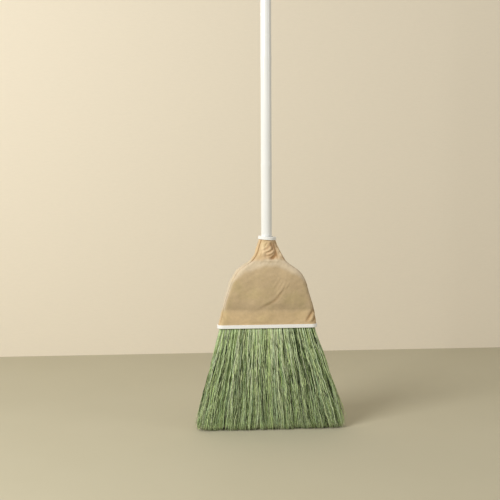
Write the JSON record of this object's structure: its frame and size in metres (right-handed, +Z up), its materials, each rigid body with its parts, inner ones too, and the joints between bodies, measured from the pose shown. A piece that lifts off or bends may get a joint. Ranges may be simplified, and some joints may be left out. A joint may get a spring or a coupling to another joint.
{
  "type": "room broom",
  "caption": "Long-handled room broom: film-covered bamboo handle, cloth-covered flat head and fanned plant-fibre bristles that flex, with a hanging eye.",
  "frame": {"origin": "on the floor, in the middle of the sweeping edge, with the broom standing upright", "axes": "+Z up along the handle, +Y towards the back of the head, +X across the head to the right"},
  "size_m": [0.3399, 0.044, 1.3],
  "materials": {
    "bamboo": "satin",
    "white_film": "gloss",
    "white_plastic": "satin",
    "cover_cloth": "matte",
    "stalks": "matte",
    "bristles": "matte",
    "thread": "matte",
    "steel_wire": "satin"
  },
  "bodies": {
    "head": {"handle_culm": "bamboo", "handle_film": "white_film", "end_cap": "white_plastic", "collar_ring": "white_plastic", "binding_strip": "white_plastic", "cover_front": "cover_cloth", "cover_back": "cover_cloth", "neck_stalks": "stalks", "neck_wire": "steel_wire", "handle_nail": "steel_wire", "stalk_bundle_1": "stalks", "stalk_bundle_2": "stalks", "stalk_bundle_3": "stalks", "stalk_bundle_4": "stalks", "stalk_bundle_5": "stalks", "stalk_bundle_6": "stalks", "stalk_bundle_7": "stalks", "stitch_row_lower": "thread", "stitch_row_middle": "thread", "stitch_row_upper": "thread"},
    "bristles": {"bristle_tuft_1": "bristles", "bristle_tuft_2": "bristles", "bristle_tuft_3": "bristles", "bristle_tuft_4": "bristles", "bristle_tuft_5": "bristles", "bristle_tuft_6": "bristles", "bristle_tuft_7": "bristles"}
  },
  "joints": [
    {"name": "bristle_flex", "type": "hinge", "parent": "head", "child": "bristles", "pos_m": [0, 0, 0.2314], "axis": [1, 0, 0], "range_deg": [-20, 20], "stiffness_Nm_per_rad": 3}
  ]
}
